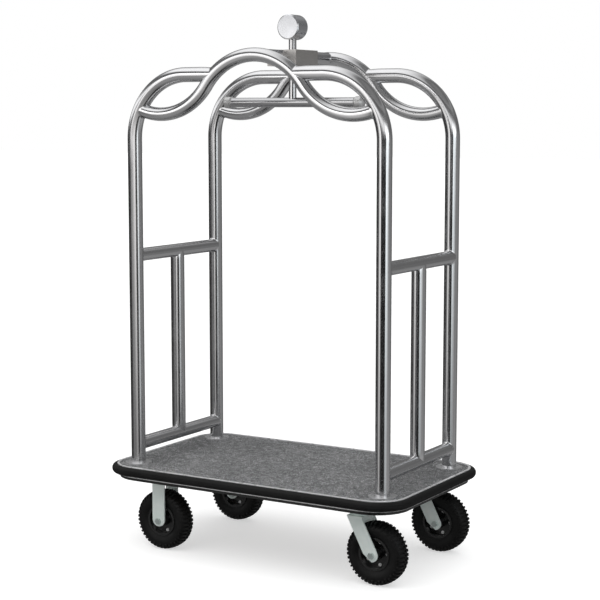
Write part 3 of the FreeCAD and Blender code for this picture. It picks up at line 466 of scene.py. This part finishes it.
def tube_sizes():
    """Radii, centre lines and arcs of the tube frame, read from the frame's boxes."""
    post_low, post_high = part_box("post_front_left")
    wave_low, wave_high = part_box("wave_tube_front")
    size = {}
    size["post_r"] = (post_high.y - post_low.y) / 2
    size["wave_r"] = (wave_high.y - wave_low.y) / 2
    size["swaged_r"] = size["wave_r"] - SWAGE_GAP
    size["post_x"] = -(post_low.x + size["post_r"])
    size["post_y"] = -(post_low.y + post_high.y) / 2
    size["foot"] = post_low.z
    size["arch"] = post_high.z - size["post_r"]
    size["crest"] = wave_high.z - size["wave_r"]
    size["drop"] = size["crest"] - (wave_low.z + size["wave_r"])
    size["wave_bend"] = (WAVE_RUN ** 2 + size["drop"] ** 2) / (4 * size["drop"])
    size["crest_centre"] = size["crest"] - size["wave_bend"]
    rise = size["arch"] - size["crest_centre"]
    size["arch_end"] = math.sqrt(size["wave_bend"] ** 2 - rise ** 2)
    size["bend_x"] = size["post_x"] - ARCH_BEND
    size["bend_z"] = size["arch"] - ARCH_BEND
    return size


def end_angle(size):
    """How far past its valley a wave runs before it meets the arch's centre line."""
    valley = size["crest"] - size["drop"] + size["wave_bend"]

    def inside_bend(angle):
        x = WAVE_RUN + size["wave_bend"] * math.sin(angle)
        z = valley - size["wave_bend"] * math.cos(angle)
        return math.hypot(x - size["bend_x"], z - size["bend_z"]) < ARCH_BEND
    return bisect(inside_bend, math.radians(60))


def post_skin(size, corner):
    """The skin of one post: upright, bend and level run, narrowed where it meets the wave."""
    x_side = 1 if corner.endswith("right") else -1
    y = size["post_y"] * (1 if corner.startswith("back") else -1)
    x = size["post_x"] * x_side
    foot = Vector((x, y, size["foot"]))
    knee = Vector((x, y, size["bend_z"]))
    first, last = (0, math.pi / 2) if x_side > 0 else (math.pi, math.pi / 2)
    turn = Vector((size["bend_x"] * x_side, y, size["arch"]))
    stop = Vector((size["arch_end"] * x_side, y, size["arch"]))
    path = straight(foot, knee)
    path += arc((size["bend_x"] * x_side, size["bend_z"]), ARCH_BEND, first, last, y)[1:]
    path += straight(turn, stop, 16)[1:]
    bm = bmesh.new()
    sweep(bm, path, size["post_r"], Y, (size["swaged_r"], 0.05))
    name = "post_" + corner
    new_piece(name + "_skin", finish_mesh(bm, name), ROOT, "tube_steel",
              materials["tube_steel"], name)


def wave_skin(size, end):
    """The skin of one wave: two S-curves from the crest to the arch bends."""
    y = size["post_y"] * (1 if end == "back" else -1)
    bend = size["wave_bend"]
    swing = math.asin(WAVE_RUN / 2 / bend)
    past = end_angle(size)
    valley_centre = size["crest"] - size["drop"] + bend
    up = math.pi / 2
    left = arc((-WAVE_RUN, valley_centre), bend, -up - past, -up + swing, y)
    crest = arc((0, size["crest_centre"]), bend, up + swing, up - swing, y)
    right = arc((WAVE_RUN, valley_centre), bend, -up - swing, -up + past, y)
    bm = bmesh.new()
    sweep(bm, left + crest[1:] + right[1:], size["wave_r"], Y)
    name = "wave_tube_" + end
    new_piece(name + "_skin", finish_mesh(bm, name), ROOT, "tube_steel",
              materials["tube_steel"], name)


def straight_skin(node, start, end, radius, side_axis, end_radius=None, slot="tube_steel"):
    """The skin of a straight tube; both ends narrow to end_radius when it is given."""
    bm = bmesh.new()
    if end_radius is None:
        sweep(bm, straight(start, end), radius, side_axis)
    else:
        middle = (start + end) / 2
        for tip in (end, start):
            sweep(bm, straight(middle, tip, 48), radius, side_axis, (end_radius, 0.03))
    new_piece(node + "_skin", finish_mesh(bm, node), ROOT, "tube_steel", materials[slot], node)


def side_tubes(size):
    """Rails and centre bars of both sides."""
    for name, sign in (("left", -1), ("right", 1)):
        x = size["post_x"] * sign
        heights = {}
        for level in ("upper", "lower"):
            node = "%s_rail_%s" % (level, name)
            low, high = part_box(node)
            heights[level] = (low.z + high.z) / 2
            straight_skin(node, Vector((x, -size["post_y"], heights[level])),
                          Vector((x, size["post_y"], heights[level])), size["wave_r"], Z)
        straight_skin("centre_bar_" + name, Vector((x, 0, heights["lower"])),
                      Vector((x, 0, heights["upper"])), size["post_r"], X, size["swaged_r"])


def head_tubes(size):
    """Cross tubes, centre rod and hanging bar."""
    low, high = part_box("cross_tubes")
    radius = (high.x - low.x) / 2
    block_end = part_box("centre_block")[1].y
    bm = bmesh.new()
    for sign in (-1, 1):
        start = Vector((0, block_end * sign, size["crest"]))
        end = Vector((0, size["post_y"] * sign, size["crest"]))
        sweep(bm, straight(start, end), radius, Z)
    new_piece("cross_tubes_skin", finish_mesh(bm, "cross_tubes"), ROOT, "tube_steel",
              materials["tube_steel"], "cross_tubes")
    bar_low, bar_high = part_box("hanger_bar")
    bar_r = (bar_high.z - bar_low.z) / 2
    bar_z = (bar_high.z + bar_low.z) / 2
    # the hanger bar gets the darkened copy of tube steel, whose colour holds painted shade
    straight_skin("hanger_bar", Vector((bar_low.x, 0, bar_z)), Vector((bar_high.x, 0, bar_z)),
                  bar_r, Y, slot="bar_steel_painted_shade")
    rod_low, rod_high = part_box("centre_rod")
    straight_skin("centre_rod", Vector((0, 0, bar_z)), Vector((0, 0, rod_high.z + 0.01)),
                  (rod_high.x - rod_low.x) / 2, X)


def rail_welds(bm, size, x_sign):
    """Fillets of one side's rails and centre bar."""
    rail_r, post_r = size["wave_r"], size["post_r"]
    x = size["post_x"] * x_sign
    side = "left" if x_sign < 0 else "right"
    for level, towards_bar in (("upper", -Z), ("lower", Z)):
        low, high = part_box("%s_rail_%s" % (level, side))
        z = (low.z + high.z) / 2
        for y_sign in (-1, 1):
            foot = Vector((x, size["post_y"] * y_sign, z))
            weld(bm, foot, -Y * y_sign, rail_r, line_header(foot, Z), post_r)
        rail = Vector((x, 0, z))
        weld(bm, rail, towards_bar, rail_r, line_header(rail, Y), rail_r)


def arch_welds(bm, size, x_sign, y_sign):
    """Fillets where one arch meets the wave, and where the wave meets the arch's bend."""
    y = size["post_y"] * y_sign
    end = Vector((size["arch_end"] * x_sign, y, size["arch"]))
    wave = circle_header((0, size["crest_centre"]), size["wave_bend"], y)
    weld(bm, end, X * x_sign, size["wave_r"], wave, size["wave_r"])
    past = end_angle(size)
    valley = size["crest"] - size["drop"] + size["wave_bend"]
    reach = WAVE_RUN + size["wave_bend"] * math.sin(past)
    tip = Vector((reach * x_sign, y, valley - size["wave_bend"] * math.cos(past)))
    inward = Vector((-math.cos(past) * x_sign, 0, -math.sin(past)))
    bend = circle_header((size["bend_x"] * x_sign, size["bend_z"]), ARCH_BEND, y)
    weld(bm, tip, inward, size["wave_r"], bend, size["post_r"])


def weld_seams(size):
    """Fillets at every tube joint."""
    bm = bmesh.new()
    for x_sign in (-1, 1):
        rail_welds(bm, size, x_sign)
        for y_sign in (-1, 1):
            arch_welds(bm, size, x_sign, y_sign)
    low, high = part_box("cross_tubes")
    for y_sign in (-1, 1):
        y = size["post_y"] * y_sign
        wave = circle_header((0, size["crest_centre"]), size["wave_bend"], y)
        foot = Vector((0, y, size["crest"]))
        weld(bm, foot, -Y * y_sign, (high.x - low.x) / 2, wave, size["wave_r"])
    new_piece("weld_seams", finish_mesh(bm, "weld_seams", math.radians(80)), ROOT, "tube_steel",
              materials["tube_steel"])


# ---------------------------------------------------------------- carpet

def inside_deck(x, y, half_x, half_y, corner):
    """How far a point lies inside a rounded rectangle; negative outside."""
    dx, dy = abs(x) - (half_x - corner), abs(y) - (half_y - corner)
    if dx > 0 and dy > 0:
        return corner - math.hypot(dx, dy)
    return min(half_x - abs(x), half_y - abs(y))


def deck_carpet(size):
    """The pile as one thick sheet: every grid point is a loop, higher or lower than the next.
    Its rim runs a little under the lips and the foot flanges, which hide its cut edge."""
    low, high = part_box("deck_carpet")
    tuck = 0.003           # how far the sheet runs under lips and flanges
    pitch = 0.004          # from one loop to the next
    pile_top = high.z - 0.0004
    underside = low.z + 0.0005
    loop_rise = 0.00045
    loop_wobble = 0.00035
    rim_width = 0.010      # the sheet sinks towards the lips over this width
    rim_sink = 0.0012
    half_x, half_y = high.x + tuck, high.y + tuck
    corner = LIP_CORNER - LIP_DEPTH + tuck
    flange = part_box("post_flanges")[1].x - size["post_x"] - tuck
    random.seed(7)
    columns, rows = int(2 * half_x / pitch), int(2 * half_y / pitch)
    bm = bmesh.new()
    grid = {}
    for i in range(columns + 1):
        for j in range(rows + 1):
            x = -half_x + 2 * half_x * i / columns
            y = -half_y + 2 * half_y * j / rows
            depth = inside_deck(x, y, half_x, half_y, corner)
            foot = math.hypot(abs(x) - size["post_x"], abs(y) - size["post_y"])
            if depth < 0 or foot < flange:
                continue
            loop = loop_rise if (i + j) % 2 else -loop_rise
            wobble = random.uniform(-loop_wobble, loop_wobble)
            edge = min(1.0, max(0.0, (depth - tuck) / rim_width))
            sink = rim_sink * (1 - edge) ** 2
            z = pile_top + (loop + wobble) * (0.4 + 0.6 * edge) - sink
            grid[i, j] = bm.verts.new((x, y, z))
    for (i, j), vertex in grid.items():
        others = [grid.get(key) for key in ((i + 1, j), (i + 1, j + 1), (i, j + 1))]
        if all(others):
            bm.faces.new((vertex, *others))
    lone = [v for v in bm.verts if not v.link_faces]
    bmesh.ops.delete(bm, geom=lone, context="VERTS")
    rim = [edge for edge in bm.edges if len(edge.link_faces) == 1]
    foot_of = {}
    for edge in rim:
        for vertex in edge.verts:
            if vertex not in foot_of:
                foot_of[vertex] = bm.verts.new((vertex.co.x, vertex.co.y, underside))
        a, b = edge.verts
        bm.faces.new((a, b, foot_of[b], foot_of[a]))
    mesh = finish_mesh(bm, "deck_carpet", math.radians(75))
    new_piece("deck_carpet_pile", mesh, ROOT, "carpet", materials["carpet"], "deck_carpet")


# ---------------------------------------------------------------- tyres

LUGS = 44                # blocks round the tyre in each of its two rows
LUG_SPREAD = 0.27        # half a block's width at its root, as a part of the pitch
LUG_HEIGHT = 0.0065


def carcass(outer, half):
    """The tyre's skin from bead to bead as (radius, y) points, below the lugs."""
    side = [(0.049, 0.0240), (0.0555, 0.0240), (0.061, 0.0270), (0.068, 0.0296),
            (0.075, 0.0306), (0.082, 0.0300), (0.088, 0.0282), (0.0925, 0.0250),
            (outer - 0.0080, 0.0212), (outer - 0.0056, 0.0125)]
    drawn_half = 0.0322
    scale = half / drawn_half
    return [(r, -y * scale) for r, y in side] + [(r, y * scale) for r, y in reversed(side)]


def lug(bm, origin, angle, spread, section, depth):
    """One tread block over a (radius, y) section, narrower at its top than at its root."""
    def corner(radius, y, turn):
        return bm.verts.new(origin + Vector((radius * math.cos(turn), y, radius * math.sin(turn))))
    sides = []
    for sign in (-1, 1):
        top = [corner(r, y, angle + sign * spread * 0.80) for r, y in section]
        root = [corner(r - depth, y * 0.93, angle + sign * spread) for r, y in section]
        sides.append((top, root))
    (top_a, root_a), (top_b, root_b) = sides
    for index in range(len(section) - 1):
        after = index + 1
        bm.faces.new((top_a[index], top_a[after], top_b[after], top_b[index]))
        bm.faces.new((root_a[index], root_b[index], root_b[after], root_a[after]))
        bm.faces.new((top_a[index], root_a[index], root_a[after], top_a[after]))
        bm.faces.new((top_b[index], top_b[after], root_b[after], root_b[index]))
    for index in (0, -1):
        bm.faces.new((top_a[index], top_b[index], root_b[index], root_a[index]))


def knobbly_tyre(corner):
    """A smooth carcass with two staggered rows of lugs that wrap its shoulders."""
    node = "tyre_" + corner
    low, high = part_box(node)
    origin = (low + high) / 2
    outer, half = (high.x - low.x) / 2, (high.y - low.y) / 2
    bm = bmesh.new()
    bead = [(0.049, 0.0185), (0.0495, 0.0185), (0.0495, -0.0185), (0.049, -0.0185)]
    turn_loop(bm, carcass(outer, half) + bead, origin)
    pitch = 2 * math.pi / LUGS
    for index in range(LUGS):
        for sign in (-1, 1):
            angle = (index + 0.25 * sign) * pitch
            tread = [(outer - 0.0003, 0.0030), (outer - 0.0007, 0.0085)]
            shoulder = [(outer - 0.0009, 0.0105), (outer - 0.0022, 0.0200),
                        (outer - 0.0058, 0.0264), (outer - 0.0110, 0.0302)]
            if index % 2:
                shoulder.append((outer - 0.0165, 0.0315))
            for section, turn in ((tread, 0.10), (shoulder, 0.0)):
                points = [(r, y * sign) for r, y in section]
                lug(bm, origin, angle + turn * pitch, pitch * LUG_SPREAD, points, LUG_HEIGHT)
    mesh = finish_mesh(bm, node, math.radians(30))
    new_piece(node + "_tread", mesh, "wheel_" + corner, "tyre_rubber",
              materials["tyre_rubber"], node)


# ---------------------------------------------------------------- studio

def paint_nodes():
    """Give every carried-over CAD node the material of its slot."""
    slots = {row["node"]: row["material_slot"] for row in frame["record"]["subparts"]}
    swaps = {"post_flanges": "flange_steel", "hanger_end_knobs": "foot_steel"}
    for name, item in frame["nodes"].items():
        item.data.materials.clear()
        item.data.materials.append(materials[swaps.get(name, slots[name])])


def floor():
    """A pale floor for the camera; the steel's reflections see the room's lower half instead."""
    mesh = bpy.data.meshes.new("floor")
    reach = 40.0
    corners = [(-reach, -reach, 0), (reach, -reach, 0), (reach, reach, 0), (-reach, reach, 0)]
    mesh.from_pydata(corners, [], [(0, 1, 2, 3)])
    plane = bpy.data.objects.new("floor", mesh)
    plane.visible_glossy = False
    bpy.context.scene.collection.objects.link(plane)
    material, tree, shader = new_material("floor")
    path = add(tree, "LightPath").outputs["Is Camera Ray"]
    wire(tree, shader, Base_Color=ramp(tree, path, (0.0, grey(0.25)), (1.0, grey(0.70))),
         Roughness=0.9, Specular_IOR_Level=0.0, Emission_Color=grey(1.0))
    wire(tree, shader, Emission_Strength=combine(tree, "MULTIPLY", path, 0.55))
    mesh.materials.append(material)


def lower_room(tree, compass, height):
    """Below eye level: a black gap where the camera stands, grey walls either side of it, a paler
    floor further down, and little light from the left at the height of the cart."""
    walls = ramp(tree, compass,
                 (0.00, grey(0.16)), (0.16, grey(0.15)), (0.24, grey(0.015)), (0.38, grey(0.015)),
                 (0.46, grey(0.26)), (0.60, grey(0.28)), (0.68, grey(0.17)), (1.00, grey(0.17)))
    floor_side = ramp(tree, height, (0.0, grey(1.3)), (0.15, grey(1.9)), (0.32, grey(1.6)),
                      (0.41, grey(1.0)))
    room = mix(tree, 1.0, walls, floor_side, "MULTIPLY")
    dim_left = ramp(tree, compass, (0.0, grey(0.25)), (0.09, grey(0.25)), (0.15, grey(1)),
                    (0.84, grey(1)), (0.88, grey(0.25)), (1.0, grey(0.25)))
    eye_level = ramp(tree, height, (0.34, grey(0)), (0.38, grey(1)))
    return mix(tree, eye_level, room, mix(tree, 1.0, room, dim_left, "MULTIPLY"))


def upper_room(tree, compass, height, across):
    """Above eye level: a bright band in front, darker walls, and a ceiling that mirrors bright on
    the left and dark on the right."""
    front = ramp(tree, height, (0.50, grey(1.35)), (0.62, grey(1.40)), (0.68, grey(0.14)),
                 (0.78, grey(0.11)), (0.84, grey(1.3)), (1.0, grey(1.45)))
    behind = ramp(tree, height, (0.5, grey(0.16)), (0.74, grey(0.18)), (0.84, grey(0.9)),
                  (1.0, grey(1.45)))
    facing = ramp(tree, compass, (0.0, grey(1)), (0.46, grey(1)), (0.54, grey(0)),
                  (0.92, grey(0)), (1.0, grey(1)))
    room = mix(tree, facing, behind, front)
    ceiling = ramp(tree, across, (0.26, grey(1)), (0.40, grey(0.80)), (0.50, grey(0.42)),
                   (0.56, grey(0.12)), (0.70, grey(0.17)))
    overhead = ramp(tree, height, (0.76, grey(0)), (0.84, grey(1)))
    mirrored = add(tree, "LightPath").outputs["Is Glossy Ray"]
    overhead = mix(tree, mirrored, grey(0), overhead)
    return mix(tree, overhead, room, mix(tree, 1.0, room, ceiling, "MULTIPLY"))


def world():
    """White to the camera; to everything else a room, by compass direction and height, each of
    them from 0 to 1."""
    room = bpy.data.worlds.new("room")
    bpy.context.scene.world = room
    room.use_nodes = True
    tree = room.node_tree
    split = add(tree, "SeparateXYZ", {"Vector": add(tree, "TexCoord").outputs["Generated"]})
    turn = combine(tree, "ARCTAN2", split.outputs["Y"], split.outputs["X"])
    compass = rescale(tree, turn, 0, 1, -math.pi, math.pi)
    height = rescale(tree, split.outputs["Z"], 0, 1, -1.0, 1.0)
    across = rescale(tree, split.outputs["X"], 0, 1, -1.0, 1.0)
    low = lower_room(tree, compass, height)
    high = upper_room(tree, compass, height, across)
    edge = ramp(tree, height, (0.535, grey(0)), (0.565, grey(1)))
    path = add(tree, "LightPath").outputs["Is Camera Ray"]
    shown = mix(tree, path, mix(tree, edge, low, high), grey(1.0))
    tree.links.new(shown, tree.nodes["Background"].inputs["Color"])


def softbox(name, place, aim, width, height, radiance, tint, fade):
    """A rectangular area light that faces aim, out of the camera's sight. It is as bright as
    radiance at its top and weaker low down; fade says from where to where along X it dims, and
    how far, below the height of the arches. What it sends steeply upwards is weaker too."""
    light = bpy.data.lights.new(name, "AREA")
    light.shape = "RECTANGLE"
    light.size = width
    light.size_y = height
    light.energy = radiance * math.pi * width * height
    light.color = tint
    light.use_nodes = True
    tree = light.node_tree
    geometry = add(tree, "NewGeometry").outputs
    place_on = add(tree, "SeparateXYZ", {"Vector": geometry["Position"]}).outputs
    leaving = add(tree, "SeparateXYZ", {"Vector": geometry["Incoming"]}).outputs
    down = rescale(tree, place_on["Z"], 0.38, 1.0, 0.2, 1.25)
    side = rescale(tree, place_on["X"], 1.0, fade[2], fade[0], fade[1])
    arch_height = rescale(tree, place_on["Z"], 0.0, 1.0, 1.32, 1.42)
    side = combine(tree, "MAXIMUM", side, arch_height)
    steep = rescale(tree, leaving["Z"], 1.0, 0.42, 0.16, 0.34)
    strength = combine(tree, "MULTIPLY", combine(tree, "MULTIPLY", down, side), steep)
    tree.links.new(strength, tree.nodes["Emission"].inputs["Strength"])
    item = bpy.data.objects.new(name, light)
    item.location = place
    item.rotation_euler = (Vector(aim) - Vector(place)).to_track_quat("-Z", "Y").to_euler()
    item.visible_camera = False
    bpy.context.scene.collection.objects.link(item)


def lights():
    """Two panels just outside the picture, with the dark gap of the camera between them."""
    softbox("left_box", (-0.48, -1.05, 0.92), (-0.48, 0.0, 0.92), 1.20, 1.84, 1.22,
            (1.0, 0.985, 0.970), (-0.05, -0.75, 0.22))
    softbox("right_box", (1.78, -0.50, 0.86), (1.30, 0.10, 0.86), 1.30, 1.72, 1.50,
            (0.925, 0.980, 1.0), (1.40, 2.00, 0.28))


def camera():
    """A long lens from the front right, a little below the arches and tilted down."""
    tilt, heading = 6.84, 30.96
    data = bpy.data.cameras.new("camera")
    data.sensor_width = 36.0
    data.lens = 95.2
    item = bpy.data.objects.new("camera", data)
    item.location = (2.749, -4.535, 1.491)
    item.rotation_euler = (math.radians(90 - tilt), 0.0, math.radians(heading))
    bpy.context.scene.collection.objects.link(item)
    bpy.context.scene.camera = item


# ---------------------------------------------------------------- build

materials = make_materials()
paint_nodes()
sizes = tube_sizes()
for name in CORNERS:
    post_skin(sizes, name)
for name in ("front", "back"):
    wave_skin(sizes, name)
side_tubes(sizes)
head_tubes(sizes)
weld_seams(sizes)
deck_carpet(sizes)
for name in CORNERS:
    knobbly_tyre(name)
floor()
world()
lights()
camera()
bpy.context.scene.view_settings.view_transform = "Standard"
